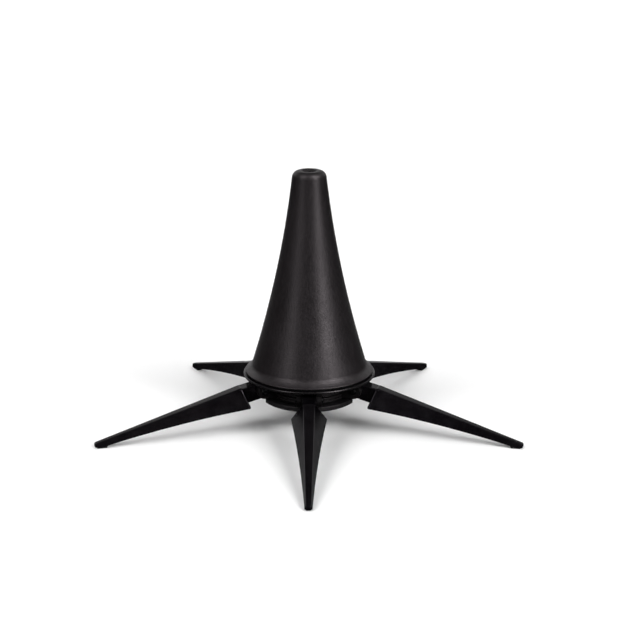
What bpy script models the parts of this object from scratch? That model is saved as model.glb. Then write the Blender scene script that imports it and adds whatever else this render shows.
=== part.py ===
# Folding stand for a clarinet: a hollow tapered peg that the bell is set over,
# screwed on to a small hub that carries five folding channel legs.
# Metres, +Z up.  Origin: centre of the hub's flat underside, on the peg's axis.
# One leg points along -Y, the others follow every 72 degrees.
import bpy
import bmesh
import math
from mathutils import Matrix, Vector

MM = 0.001

# ------------------------------------------------------------- driving sizes (mm)
LEGS = 5
FLOOR_Z = -13.4            # floor below the hub's underside
TIP_R = 100.0              # leg tip to axis, legs open

# hub
PLATE_R = 22.0
PLATE_T = 2.5
PLATE_EDGE = 0.4
PLATE_UNDERCUT = 1.2       # lower edge turned in, radially
PLATE_UNDERCUT_H = 0.6
SEAM = 0.25                # gap between parts that are clamped together
COLLAR_R = 17.0
COLLAR_RIDGE_R = 18.1
FLANGE_R = 29.9
FLANGE_UNDER_Z = 11.4
FLANGE_TOP_Z = 12.5
WEB_UNDER_Z = 10.9
WEB_R = 25.6
NECK_TOP_Z = 21.6
NECK_INNER_R = 18.8
HUB_BORE_R = 11.4
HUB_FLOOR_Z = 5.8
CUP_FLOOR_Z = 14.4

# screw thread between hub neck and peg
THREAD_PITCH = 3.0
THREAD_MEAN_R = 21.9
THREAD_DEPTH = 0.8
THREAD_GAP = 0.4

# friction washer in the groove under the peg
WASHER_OUT_R = 27.9
WASHER_IN_R = 23.4
WASHER_Z0 = 12.62
WASHER_Z1 = 13.18

# peg
PEG_BASE_Z = 13.3
PEG_RIM_R = 28.95
PEG_KICK_Z = 17.6          # where the rim's short flare meets the tapered wall
PEG_KICK_R = 25.68
PEG_SHOULDER_Z = 102.4     # where the tapered wall meets the rounded top
PEG_SHOULDER_R = 7.7
PEG_SLOPE_TOP = 0.119      # radius gained per mm of height at the top of the wall
PEG_TOP_Z = 105.5
PEG_TOP_ROUND = 3.2
PEG_HOLE_R = 2.45
PEG_WALL = 2.0
PEG_TOP_WALL = 3.2
BORE_TOP_Z = 21.95

# leg hinge
PIVOT_R = 22.5
PIVOT_Z = 6.6
SLOT_HALF = 3.3
SLOT_IN_R = 16.5
SLOT_TOP_Z = 10.4
EAR_HALF = 5.5
EAR_R = 3.5
PIN_R = 1.2
PIN_GAP = 0.1
PIN_HEAD_R = 1.8
PIN_HEAD_T = 0.8

# leg, measured from the axis (s) and from the floor (h)
NECK_HALF = 3.0
ROOT_R = 3.5
RIDGE_H30, RIDGE_HTIP = 22.6, 2.4
RIDGE_W30, RIDGE_WTIP = 2.6, 1.2
FLANGE_H30, FLANGE_HTIP = 13.45, -0.25
FLANGE_W30, FLANGE_WTIP = 8.15, 1.6
FLANGE_ARCH = 1.0          # lower edge bows up at mid length
FLANGE_WAIST = 0.6         # and in at the sides
FLANGE_MIN_H = 0.62        # clear of the floor at the tip
SHOULDER_TOP_S = 32.5
SHOULDER_BOT_S = 29.6
TIP_ROUND = 0.6
NECK_UNDER_H = 16.3        # under the neck at the pivot
NECK_UNDER_FALL = 0.235
LEG_WALL = 1.3
CHANNEL_END_S = 89.0
LEG_EDGE = 0.32

# foot pad
PAD_S0, PAD_S1 = 94.0, 98.9
PAD_HALF = 1.45
PAD_GAP = 0.15
PAD_PEG_S = 96.2
PAD_PEG_R = 0.55

# hub screws
SCREW_R = 13.9
SCREW_HEAD_R = 2.2
SCREW_HEAD_T = 1.2
SCREW_SINK = 0.25
SCREW_SHANK_R = 1.05
SCREW_TOP_Z = 8.6
CBORE_R = 2.5
CBORE_D = 1.6

SEG = 40                   # facets round the large turned parts


# ------------------------------------------------------------- helpers
def clear():
    for ob in list(bpy.data.objects):
        bpy.data.objects.remove(ob, do_unlink=True)


def material(name, color, rough, metal):
    m = bpy.data.materials.new(name)
    m.use_nodes = True
    b = m.node_tree.nodes["Principled BSDF"]
    b.inputs["Base Color"].default_value = (color[0], color[1], color[2], 1.0)
    b.inputs["Roughness"].default_value = rough
    b.inputs["Metallic"].default_value = metal
    m.diffuse_color = (color[0], color[1], color[2], 1.0)
    return m


def add(name, bm, mat=None):
    bmesh.ops.recalc_face_normals(bm, faces=bm.faces)
    me = bpy.data.meshes.new(name)
    bm.to_mesh(me)
    bm.free()
    ob = bpy.data.objects.new(name, me)
    bpy.context.collection.objects.link(ob)
    if mat is not None:
        me.materials.append(mat)
    return ob


def settle(ob):
    """Replace the mesh by the result of its modifiers."""
    bpy.context.view_layer.update()
    dg = bpy.context.evaluated_depsgraph_get()
    me = bpy.data.meshes.new_from_object(ob.evaluated_get(dg))
    ob.modifiers.clear()
    ob.data = me


def combine(ob, tool_bm, operation):
    tool = add("tool", tool_bm)
    tool.hide_render = True
    tool.display_type = 'WIRE'
    mod = ob.modifiers.new("join", 'BOOLEAN')
    mod.operation = operation
    mod.solver = 'EXACT'
    mod.object = tool
    settle(ob)
    bpy.data.objects.remove(tool, do_unlink=True)


def soften(ob, width, segments=2, angle=30.0):
    mod = ob.modifiers.new("edge", 'BEVEL')
    mod.width = width * MM
    mod.segments = segments
    mod.limit_method = 'ANGLE'
    mod.angle_limit = math.radians(angle)
    settle(ob)


def shade(ob, angle=32.0):
    for p in ob.data.polygons:
        p.use_smooth = True
    ob.data.set_sharp_from_angle(angle=math.radians(angle))


def ring(bm, z, r, segs, turn=0.0):
    """One ring of vertices; r is a number or a function of the angle."""
    out = []
    for i in range(segs):
        a = 2.0 * math.pi * i / segs + turn
        rr = r(a) if callable(r) else r
        out.append(bm.verts.new((rr * math.cos(a) * MM, rr * math.sin(a) * MM, z * MM)))
    return out


def bridge(bm, a, b):
    n = len(a)
    for i in range(n):
        bm.faces.new((a[i], a[(i + 1) % n], b[(i + 1) % n], b[i]))


def turned(levels, segs, closed):
    """Body of revolution from (z, r) levels: a closed loop, or a solid capped at both ends."""
    bm = bmesh.new()
    rings = [ring(bm, z, r, segs) for z, r in levels]
    for a, b in zip(rings, rings[1:]):
        bridge(bm, a, b)
    if closed:
        bridge(bm, rings[-1], rings[0])
    else:
        bm.faces.new(rings[0])
        bm.faces.new(rings[-1])
    return bm


def box(bm, x0, x1, y0, y1, z0, z1, turn=0.0):
    vs = []
    for z in (z0, z1):
        for x, y in ((x0, y0), (x1, y0), (x1, y1), (x0, y1)):
            v = Matrix.Rotation(turn, 3, 'Z') @ Vector((x, y, z))
            vs.append(bm.verts.new(v * MM))
    for f in ((0, 1, 2, 3), (4, 5, 6, 7), (0, 1, 5, 4), (1, 2, 6, 5), (2, 3, 7, 6), (3, 0, 4, 7)):
        bm.faces.new([vs[i] for i in f])


def prism(bm, outline, y0, y1, turn=0.0):
    """Outline of (x, z) points, extruded along Y."""
    rot = Matrix.Rotation(turn, 3, 'Z')
    a = [bm.verts.new(rot @ Vector((x, y0, z)) * MM) for x, z in outline]
    b = [bm.verts.new(rot @ Vector((x, y1, z)) * MM) for x, z in outline]
    bridge(bm, a, b)
    bm.faces.new(a)
    bm.faces.new(b)


def hexa(bm, pts):
    """Eight corners: four round one end, four round the other."""
    vs = [bm.verts.new(Vector(p) * MM) for p in pts]
    for f in ((0, 1, 2, 3), (4, 5, 6, 7), (0, 1, 5, 4), (1, 2, 6, 5), (2, 3, 7, 6), (3, 0, 4, 7)):
        bm.faces.new([vs[i] for i in f])


def rod(bm, r, length, matrix, segs=20):
    bmesh.ops.create_cone(bm, cap_ends=True, cap_tris=False, segments=segs,
                          radius1=r * MM, radius2=r * MM, depth=length * MM, matrix=matrix)


def arc(cx, cz, r, a0, a1, n):
    out = []
    for i in range(n + 1):
        a = math.radians(a0 + (a1 - a0) * i / n)
        out.append((cx + r * math.cos(a), cz + r * math.sin(a)))
    return out


def leg_turn(k):
    return -math.pi / 2 + 2.0 * math.pi * k / LEGS


def gap_turn(k):
    return leg_turn(k) + math.pi / LEGS


def lerp(a, b, t):
    return a + (b - a) * t


# ------------------------------------------------------------- thread
def thread_r(z, extra, strength):
    def r(a):
        wave = math.cos(2.0 * math.pi * z / THREAD_PITCH - a)
        return THREAD_MEAN_R + extra + 0.5 * THREAD_DEPTH * (wave * strength - (1.0 - strength))
    return r


def thread_levels(z0, z1, n, extra, fade0, fade1):
    out = []
    for i in range(n + 1):
        z = lerp(z0, z1, i / n)
        s = 1.0
        if fade0 and z - z0 < fade0:
            s = (z - z0) / fade0
        if fade1 and z1 - z < fade1:
            s = (z1 - z) / fade1
        out.append((z, thread_r(z, extra, s)))
    return out


# ------------------------------------------------------------- peg
def wall_r(z):
    """Outer radius of the peg's concave tapered wall."""
    t = PEG_SHOULDER_Z - z
    span = PEG_SHOULDER_Z - PEG_KICK_Z
    bend = (PEG_KICK_R - PEG_SHOULDER_R - PEG_SLOPE_TOP * span) / (span * span)
    return PEG_SHOULDER_R + PEG_SLOPE_TOP * t + bend * t * t


def make_peg(mat):
    lv = []
    # underside and rim bead, going up the outside
    lv.append((PEG_BASE_Z, 23.4))
    lv.append((PEG_BASE_Z, PEG_RIM_R - 0.3))
    lv.append((PEG_BASE_Z + 0.15, PEG_RIM_R))
    lv.append((PEG_BASE_Z + 0.38, PEG_RIM_R))
    # short hollow flare up into the tapered wall
    flare = PEG_KICK_Z - PEG_BASE_Z - 0.38
    reach = PEG_RIM_R - PEG_KICK_R
    for t, u in ((0.08, 0.13), (0.2, 0.34), (0.35, 0.55), (0.52, 0.74), (0.75, 0.91)):
        lv.append((PEG_BASE_Z + 0.38 + flare * t, PEG_RIM_R - reach * u))
    n = 13
    for i in range(n + 1):
        z = lerp(PEG_KICK_Z, PEG_SHOULDER_Z, i / n)
        lv.append((z, wall_r(z)))
    # rounded top edge
    cr = wall_r(PEG_SHOULDER_Z) - PEG_TOP_ROUND
    for x, z in arc(cr, PEG_TOP_Z - PEG_TOP_ROUND, PEG_TOP_ROUND, 22, 90, 4):
        lv.append((z, x))
    # dished mouth of the hole
    lv.append((PEG_TOP_Z - 0.25, PEG_HOLE_R + 0.75))
    lv.append((PEG_TOP_Z - 0.8, PEG_HOLE_R))
    lv.append((PEG_TOP_Z - PEG_TOP_WALL + 0.4, PEG_HOLE_R))
    lv.append((PEG_TOP_Z - PEG_TOP_WALL, PEG_HOLE_R + 0.4))
    # inside wall, going down
    zt = PEG_TOP_Z - PEG_TOP_WALL - 1.0
    lv.append((zt, wall_r(zt) - PEG_WALL))
    z_end = BORE_TOP_Z + 1.6
    n = 9
    for i in range(1, n + 1):
        z = lerp(zt, z_end, i / n)
        lv.append((z, wall_r(z) - PEG_WALL))
    # female thread
    th = thread_levels(PEG_BASE_Z + 0.55, BORE_TOP_Z, 15, THREAD_GAP, 0.0, 0.7)
    lv.append((BORE_TOP_Z + 0.25, THREAD_MEAN_R + THREAD_GAP + 0.25))
    lv.extend(reversed(th))
    ob = add("peg_cone", turned(lv, SEG, True), mat)
    shade(ob, 40)
    return ob


def make_washer(mat):
    lv = [(WASHER_Z0, WASHER_IN_R), (WASHER_Z0, WASHER_OUT_R - 0.15),
          (WASHER_Z0 + 0.15, WASHER_OUT_R), (WASHER_Z1 - 0.15, WASHER_OUT_R),
          (WASHER_Z1, WASHER_OUT_R - 0.15), (WASHER_Z1, WASHER_IN_R)]
    ob = add("friction_washer", turned(lv, SEG, True), mat)
    # two small tabs on the inner edge
    bm = bmesh.new()
    for k in range(2):
        box(bm, WASHER_IN_R - 0.55, WASHER_IN_R + 0.8, -1.6, 1.6, WASHER_Z0 + 0.12, WASHER_Z1 - 0.12, math.pi * k)
    combine(ob, bm, 'UNION')
    shade(ob, 40)
    return ob


# ------------------------------------------------------------- hub
def make_hub(mat):
    z0 = PLATE_T + SEAM
    lv = [(z0, COLLAR_RIDGE_R - 0.25), (z0 + 0.25, COLLAR_RIDGE_R), (z0 + 0.85, COLLAR_RIDGE_R),
          (z0 + 1.1, COLLAR_RIDGE_R - 0.45), (z0 + 1.35, COLLAR_RIDGE_R - 0.45),
          (z0 + 1.6, COLLAR_RIDGE_R - 0.1), (z0 + 2.2, COLLAR_RIDGE_R - 0.1),
          (z0 + 2.6, COLLAR_R), (WEB_UNDER_Z - 0.8, COLLAR_R), (WEB_UNDER_Z, COLLAR_R + 0.9),
          (WEB_UNDER_Z, WEB_R), (FLANGE_UNDER_Z, WEB_R + 0.6),
          (FLANGE_UNDER_Z, FLANGE_R - 0.35), (FLANGE_UNDER_Z + 0.3, FLANGE_R),
          (FLANGE_TOP_Z - 0.35, FLANGE_R), (FLANGE_TOP_Z, FLANGE_R - 0.4),
          (FLANGE_TOP_Z, THREAD_MEAN_R - 0.5)]
    lv += thread_levels(FLANGE_TOP_Z + 0.5, NECK_TOP_Z, 16, 0.0, 0.6, 0.9)
    lv += [(NECK_TOP_Z, NECK_INNER_R + 0.3), (NECK_TOP_Z - 0.3, NECK_INNER_R), (CUP_FLOOR_Z, NECK_INNER_R),
           (CUP_FLOOR_Z, HUB_BORE_R + 0.4), (CUP_FLOOR_Z - 0.4, HUB_BORE_R), (HUB_FLOOR_Z, HUB_BORE_R)]
    ob = add("hub_body", turned(lv, SEG, False), mat)

    # five hinge lugs, each later slotted into a pair of ears
    bm = bmesh.new()
    lip = PLATE_R + SEAM + 0.1
    a0 = -math.degrees(math.acos((lip - PIVOT_R) / EAR_R))
    out = [(COLLAR_R - 1.4, WEB_UNDER_Z + 0.4), (COLLAR_R - 1.4, z0 + 0.1), (lip, z0 + 0.1)]
    out += arc(PIVOT_R, PIVOT_Z, EAR_R, a0, 40, 10)
    out += [(WEB_R, WEB_UNDER_Z - 0.3), (WEB_R - 0.1, WEB_UNDER_Z + 0.4)]
    for k in range(LEGS):
        prism(bm, out, -EAR_HALF, EAR_HALF, leg_turn(k))
    combine(ob, bm, 'UNION')

    # slots for the leg roots
    bm = bmesh.new()
    for k in range(LEGS):
        box(bm, SLOT_IN_R, 34.0, -SLOT_HALF, SLOT_HALF, 1.0, SLOT_TOP_Z, leg_turn(k))
    combine(ob, bm, 'DIFFERENCE')

    # pin holes across the ears and pilot holes for the screws
    bm = bmesh.new()
    for k in range(LEGS):
        t = leg_turn(k)
        c = Matrix.Rotation(t, 4, 'Z') @ Matrix.Translation((PIVOT_R * MM, 0, PIVOT_Z * MM)) @ Matrix.Rotation(math.pi / 2, 4, 'X')
        rod(bm, PIN_R + PIN_GAP, 2 * EAR_HALF + 3.0, c, 16)
    for k in range(LEGS):
        t = gap_turn(k)
        top = SCREW_TOP_Z + 0.5
        c = Matrix.Rotation(t, 4, 'Z') @ Matrix.Translation((SCREW_R * MM, 0, 0.5 * (top + 1.0) * MM))
        rod(bm, SCREW_SHANK_R + 0.12, top - 1.0, c, 16)
    combine(ob, bm, 'DIFFERENCE')
    shade(ob, 38)
    return ob


def make_plate(mat):
    lv = [(0.0, PLATE_R - PLATE_UNDERCUT), (PLATE_UNDERCUT_H * 0.3, PLATE_R - PLATE_UNDERCUT * 0.45),
          (PLATE_UNDERCUT_H, PLATE_R),
          (PLATE_T - PLATE_EDGE, PLATE_R), (PLATE_T - PLATE_EDGE * 0.45, PLATE_R - PLATE_EDGE * 0.25),
          (PLATE_T, PLATE_R - PLATE_EDGE)]
    ob = add("base_plate", turned(lv, SEG, False), mat)
    bm = bmesh.new()
    for k in range(LEGS):
        box(bm, SLOT_IN_R, 30.0, -SLOT_HALF, SLOT_HALF, -2.0, PLATE_T + 2.0, leg_turn(k))
    combine(ob, bm, 'DIFFERENCE')
    bm = bmesh.new()
    for k in range(LEGS):
        t = gap_turn(k)
        c = Matrix.Rotation(t, 4, 'Z') @ Matrix.Translation((SCREW_R * MM, 0, (CBORE_D - 5.0 * 0.5) * MM))
        rod(bm, CBORE_R, 5.0, c, 20)
    combine(ob, bm, 'DIFFERENCE')
    bm = bmesh.new()
    for k in range(LEGS):
        t = gap_turn(k)
        c = Matrix.Rotation(t, 4, 'Z') @ Matrix.Translation((SCREW_R * MM, 0, 2.0 * MM))
        rod(bm, SCREW_SHANK_R + 0.25, 8.0, c, 16)
    combine(ob, bm, 'DIFFERENCE')
    shade(ob, 38)
    return ob


def make_screw(k, mat):
    z0 = SCREW_SINK
    z1 = SCREW_SINK + SCREW_HEAD_T
    lv = [(z0, SCREW_HEAD_R - 0.55), (z0 + 0.18, SCREW_HEAD_R - 0.2), (z0 + 0.5, SCREW_HEAD_R),
          (z1, SCREW_HEAD_R), (z1, SCREW_SHANK_R), (SCREW_TOP_Z - 0.6, SCREW_SHANK_R), (SCREW_TOP_Z, SCREW_SHANK_R - 0.45)]
    ob = add("hub_screw_%d" % (k + 1), turned(lv, 16, False), mat)
    bm = bmesh.new()
    rod(bm, 1.0, 1.6, Matrix.Translation((0, 0, (z0 - 0.8 + 0.75) * MM)), 6)
    combine(ob, bm, 'DIFFERENCE')
    t = gap_turn(k)
    ob.location = (SCREW_R * math.cos(t) * MM, SCREW_R * math.sin(t) * MM, 0.0)
    ob.rotation_euler = (0.0, 0.0, t)
    shade(ob, 38)
    return ob


# ------------------------------------------------------------- hinge pin
def make_pin(k, mat):
    a = EAR_HALF + 0.15
    lv = [(-a - PIN_HEAD_T, PIN_HEAD_R - 0.95), (-a - PIN_HEAD_T + 0.2, PIN_HEAD_R - 0.4), (-a - PIN_HEAD_T + 0.5, PIN_HEAD_R),
          (-a, PIN_HEAD_R), (-a, PIN_R), (a, PIN_R), (a, PIN_HEAD_R - 0.25), (a + 0.45, PIN_HEAD_R - 0.35), (a + 0.7, PIN_HEAD_R - 0.9)]
    bm = turned(lv, 16, False)
    bmesh.ops.rotate(bm, cent=(0, 0, 0), matrix=Matrix.Rotation(math.pi / 2, 3, 'X'), verts=bm.verts)
    ob = add("hinge_pin_%d" % (k + 1), bm, mat)
    t = leg_turn(k)
    ob.location = (PIVOT_R * math.cos(t) * MM, PIVOT_R * math.sin(t) * MM, PIVOT_Z * MM)
    ob.rotation_euler = (0.0, 0.0, t)
    shade(ob, 38)
    return ob


# ------------------------------------------------------------- leg
# Leg meshes are drawn about the hinge axis: x = s - PIVOT_R, z = h - pivot height.
PIVOT_H = PIVOT_Z - FLOOR_Z


def along(v30, vtip, s):
    return lerp(v30, vtip, (s - 30.0) / (TIP_R - 30.0))


def ridge(s):
    return along(RIDGE_H30, RIDGE_HTIP, s) - PIVOT_H, along(RIDGE_W30, RIDGE_WTIP, s)


def flange(s):
    bow = (s - 30.0) * (TIP_R - s) / (0.25 * (TIP_R - 30.0) ** 2)
    h = along(FLANGE_H30, FLANGE_HTIP, s) + FLANGE_ARCH * bow
    return max(h, FLANGE_MIN_H) - PIVOT_H, along(FLANGE_W30, FLANGE_WTIP, s) - FLANGE_WAIST * bow


def sections(bm, rows):
    """Loft four-cornered sections, given tip-most last; returns the vertex rings."""
    rings = [[bm.verts.new(Vector(p) * MM) for p in row] for row in rows]
    for a, b in zip(rings, rings[1:]):
        bridge(bm, a, b)
    bm.faces.new(rings[0])
    bm.faces.new(rings[-1])
    return rings


def make_leg(k, mat):
    # tapered body with the slanted shoulder
    bm = bmesh.new()
    rows = []
    for t in (0.0, 0.12, 0.26, 0.4, 0.54, 0.68, 0.82, 0.945, 1.0):
        st = lerp(SHOULDER_TOP_S, TIP_R, t)
        sb = lerp(SHOULDER_BOT_S, TIP_R - 0.35, t)
        zr, wr = ridge(st)
        zf, wf = flange(sb)
        rows.append([(st - PIVOT_R, -wr, zr), (sb - PIVOT_R, -wf, zf), (sb - PIVOT_R, wf, zf), (st - PIVOT_R, wr, zr)])
    rings = sections(bm, rows)
    end = set(rings[-1])
    tip = [e for e in bm.edges if e.verts[0] in end and e.verts[1] in end and e.verts[0].co.z + e.verts[1].co.z > 2.0 * (rings[-1][1].co.z + 0.05 * MM)]
    bmesh.ops.bevel(bm, geom=tip, offset=TIP_ROUND * MM, segments=2, profile=0.5, affect='EDGES', clamp_overlap=True)
    ob = add("leg_%d" % (k + 1), bm, mat)
    soften(ob, LEG_EDGE, 2)

    # open channel underneath
    bm = bmesh.new()
    rows = []
    for t in (0.0, 0.2, 0.4, 0.6, 0.8, 1.0):
        st = lerp(SHOULDER_TOP_S + 2.3, CHANNEL_END_S, t)
        sb = lerp(SHOULDER_BOT_S + 1.5, CHANNEL_END_S, t)
        zr, wr = ridge(st)
        zf, wf = flange(st)
        slant = math.hypot(wf - wr, zr - zf) / (zr - zf)
        run = (wf - wr) / (zr - zf)
        top_z = zr - LEG_WALL
        top_w = max(wr + LEG_WALL * run - LEG_WALL * slant, 0.16)
        zf, wf = flange(sb)
        bot_z = zf - 3.0
        bot_w = max(wf - LEG_WALL * slant, 0.3) + 3.0 * run * 0.5
        rows.append([(st - PIVOT_R, -top_w, top_z), (sb - PIVOT_R, -bot_w, bot_z), (sb - PIVOT_R, bot_w, bot_z), (st - PIVOT_R, top_w, top_z)])
    sections(bm, rows)
    combine(ob, bm, 'DIFFERENCE')

    # neck and rounded root
    bm = bmesh.new()
    reach = SHOULDER_TOP_S + 1.6 - PIVOT_R
    under = NECK_UNDER_H - PIVOT_H
    drop = 0.18
    z_at = lambda x: ridge(PIVOT_R + x)[0] - drop
    out = arc(0.0, 0.0, ROOT_R, 90, 254, 12)
    out += [(1.2, under - NECK_UNDER_FALL * 1.2), (reach - 2.2, under - NECK_UNDER_FALL * (reach - 2.2)), (reach, z_at(reach) - 2.0),
            (reach, z_at(reach)), (1.0, min(z_at(1.0), ROOT_R))]
    prism(bm, out, -NECK_HALF, NECK_HALF)
    neck = add("neck", bm)
    soften(neck, 0.3, 2, 50)
    bm = bmesh.new()
    bm.from_mesh(neck.data)
    bpy.data.objects.remove(neck, do_unlink=True)
    combine(ob, bm, 'UNION')

    # pin hole and the socket for the foot pad's stub
    bm = bmesh.new()
    rod(bm, PIN_R + PIN_GAP, 12.0, Matrix.Rotation(math.pi / 2, 4, 'X'), 16)
    zf = flange(PAD_PEG_S)[0]
    rod(bm, PAD_PEG_R + 0.12, 4.0, Matrix.Translation(((PAD_PEG_S - PIVOT_R) * MM, 0, (zf + 1.25 - 2.0) * MM)), 12)
    combine(ob, bm, 'DIFFERENCE')
    t = leg_turn(k)
    ob.location = (PIVOT_R * math.cos(t) * MM, PIVOT_R * math.sin(t) * MM, PIVOT_Z * MM)
    ob.rotation_euler = (0.0, 0.0, t)
    shade(ob, 30)
    return ob


def make_pad(k, mat):
    bm = bmesh.new()
    low = -PIVOT_H
    rows = []
    for s, ease in ((PAD_S0, 0.5), (95.8, 0.0), (96.7, 0.0), (PAD_S1, -0.25)):
        z = flange(s)[0] - PAD_GAP
        x = s - PIVOT_R
        w = lerp(PAD_HALF, 1.0, (s - PAD_S0) / (PAD_S1 - PAD_S0))
        rows.append([(x + ease, -w, low), (x, -w, z), (x, w, z), (x + ease, w, low)])
    sections(bm, rows)
    ob = add("foot_pad_%d" % (k + 1), bm, mat)
    soften(ob, 0.18, 2)
    bm = bmesh.new()
    zf = flange(PAD_PEG_S)[0]
    rod(bm, PAD_PEG_R, 1.3, Matrix.Translation(((PAD_PEG_S - PIVOT_R) * MM, 0, (zf + 0.95 - 0.65) * MM)), 12)
    combine(ob, bm, 'UNION')
    t = leg_turn(k)
    ob.location = (PIVOT_R * math.cos(t) * MM, PIVOT_R * math.sin(t) * MM, PIVOT_Z * MM)
    ob.rotation_euler = (0.0, 0.0, t)
    shade(ob, 30)
    return ob


# ------------------------------------------------------------- build
clear()

peg_mat = material("peg_black", (0.022, 0.022, 0.024), 0.48, 0.0)
washer_mat = material("washer_rubber", (0.012, 0.012, 0.012), 0.75, 0.0)
hub_mat = material("hub_black", (0.018, 0.018, 0.02), 0.42, 0.0)
plate_mat = material("plate_black", (0.03, 0.03, 0.032), 0.45, 0.0)
leg_mat = material("leg_black", (0.02, 0.02, 0.022), 0.33, 0.0)
pin_mat = material("pin_steel", (0.10, 0.10, 0.105), 0.35, 1.0)
screw_mat = material("screw_steel", (0.16, 0.16, 0.165), 0.35, 1.0)
pad_mat = material("pad_rubber", (0.015, 0.015, 0.015), 0.8, 0.0)

make_peg(peg_mat)
make_washer(washer_mat)
make_hub(hub_mat)
make_plate(plate_mat)
for k in range(LEGS):
    make_leg(k, leg_mat)
    make_pad(k, pad_mat)
    make_pin(k, pin_mat)
    make_screw(k, screw_mat)
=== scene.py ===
import bpy
import bmesh
import math
from mathutils import Matrix, Vector


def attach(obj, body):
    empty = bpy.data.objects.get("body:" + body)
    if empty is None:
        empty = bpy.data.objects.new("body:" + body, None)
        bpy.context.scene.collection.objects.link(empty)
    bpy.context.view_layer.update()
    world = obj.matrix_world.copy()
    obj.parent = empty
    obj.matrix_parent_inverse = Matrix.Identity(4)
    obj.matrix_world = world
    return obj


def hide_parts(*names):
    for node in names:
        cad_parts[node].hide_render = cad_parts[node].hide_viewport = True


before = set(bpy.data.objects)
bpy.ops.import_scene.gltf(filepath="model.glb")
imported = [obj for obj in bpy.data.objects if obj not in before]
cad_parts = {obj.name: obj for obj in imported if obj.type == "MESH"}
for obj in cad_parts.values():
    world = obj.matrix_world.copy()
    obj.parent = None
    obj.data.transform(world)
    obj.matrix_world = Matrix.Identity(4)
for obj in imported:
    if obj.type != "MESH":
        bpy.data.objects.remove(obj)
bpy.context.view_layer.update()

MM = 0.001
LEGS = 5
FLOOR_Z = -13.4

# ------------------------------------------------------------------ mesh helpers


def link(name, bm, mat=None):
    bmesh.ops.recalc_face_normals(bm, faces=bm.faces)
    me = bpy.data.meshes.new(name)
    bm.to_mesh(me)
    bm.free()
    ob = bpy.data.objects.new(name, me)
    bpy.context.scene.collection.objects.link(ob)
    if mat is not None:
        me.materials.append(mat)
    return ob


def settle(ob):
    bpy.context.view_layer.update()
    dg = bpy.context.evaluated_depsgraph_get()
    me = bpy.data.meshes.new_from_object(ob.evaluated_get(dg))
    ob.modifiers.clear()
    ob.data = me


def combine(ob, tool_bm, operation):
    tool = link("tool", tool_bm)
    mod = ob.modifiers.new("join", 'BOOLEAN')
    mod.operation = operation
    mod.solver = 'EXACT'
    mod.object = tool
    settle(ob)
    bpy.data.objects.remove(tool, do_unlink=True)


def soften(ob, width, segments=3, angle=30.0, profile=0.5):
    mod = ob.modifiers.new("edge", 'BEVEL')
    mod.width = width * MM
    mod.segments = segments
    mod.limit_method = 'ANGLE'
    mod.angle_limit = math.radians(angle)
    mod.profile = profile
    mod.miter_outer = 'MITER_ARC'
    settle(ob)


def shade(ob, angle=35.0, weighted=True):
    for p in ob.data.polygons:
        p.use_smooth = True
    ob.data.set_sharp_from_angle(angle=math.radians(angle))
    if weighted:
        mod = ob.modifiers.new("normals", 'WEIGHTED_NORMAL')
        mod.keep_sharp = True
        mod.weight = 60


def ring(bm, z, r, segs, turn=0.0):
    out = []
    for i in range(segs):
        a = 2.0 * math.pi * i / segs + turn
        rr = r(a) if callable(r) else r
        out.append(bm.verts.new((rr * math.cos(a) * MM, rr * math.sin(a) * MM, z * MM)))
    return out


def bridge(bm, a, b):
    n = len(a)
    for i in range(n):
        bm.faces.new((a[i], a[(i + 1) % n], b[(i + 1) % n], b[i]))


def turned(levels, segs, closed):
    bm = bmesh.new()
    rings = [ring(bm, z, r, segs) for z, r in levels]
    for a, b in zip(rings, rings[1:]):
        bridge(bm, a, b)
    if closed:
        bridge(bm, rings[-1], rings[0])
    else:
        bm.faces.new(rings[0])
        bm.faces.new(rings[-1])
    return bm


def rounded(points, steps=5):
    """Round the corners of an open polyline of (z, r, radius) points."""
    out = []
    for i, (z, r, rad) in enumerate(points):
        if rad <= 0.0 or i == 0 or i == len(points) - 1:
            out.append((z, r))
            continue
        p = Vector((z, r))
        a = Vector(points[i - 1][:2]) - p
        b = Vector(points[i + 1][:2]) - p
        la, lb = a.length, b.length
        a.normalize()
        b.normalize()
        half = 0.5 * math.acos(max(-1.0, min(1.0, a.dot(b))))
        d = min(rad / math.tan(half), 0.49 * la, 0.49 * lb)
        p0, p2 = p + a * d, p + b * d
        for k in range(steps + 1):
            t = k / steps
            q = p0 * (1 - t) * (1 - t) + p * 2 * t * (1 - t) + p2 * t * t
            out.append((q.x, q.y))
    return out


def box(bm, x0, x1, y0, y1, z0, z1, turn=0.0):
    vs = []
    for z in (z0, z1):
        for x, y in ((x0, y0), (x1, y0), (x1, y1), (x0, y1)):
            v = Matrix.Rotation(turn, 3, 'Z') @ Vector((x, y, z))
            vs.append(bm.verts.new(v * MM))
    for f in ((0, 1, 2, 3), (4, 5, 6, 7), (0, 1, 5, 4), (1, 2, 6, 5), (2, 3, 7, 6), (3, 0, 4, 7)):
        bm.faces.new([vs[i] for i in f])


def prism(bm, outline, y0, y1, turn=0.0):
    rot = Matrix.Rotation(turn, 3, 'Z')
    a = [bm.verts.new(rot @ Vector((x, y0, z)) * MM) for x, z in outline]
    b = [bm.verts.new(rot @ Vector((x, y1, z)) * MM) for x, z in outline]
    bridge(bm, a, b)
    bm.faces.new(a)
    bm.faces.new(b)


def hexa(bm, pts):
    vs = [bm.verts.new(Vector(p) * MM) for p in pts]
    for f in ((0, 1, 2, 3), (4, 5, 6, 7), (0, 1, 5, 4), (1, 2, 6, 5), (2, 3, 7, 6), (3, 0, 4, 7)):
        bm.faces.new([vs[i] for i in f])
    return vs


def rod(bm, r, length, matrix, segs=32):
    bmesh.ops.create_cone(bm, cap_ends=True, cap_tris=False, segments=segs,
                          radius1=r * MM, radius2=r * MM, depth=length * MM, matrix=matrix)


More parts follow.
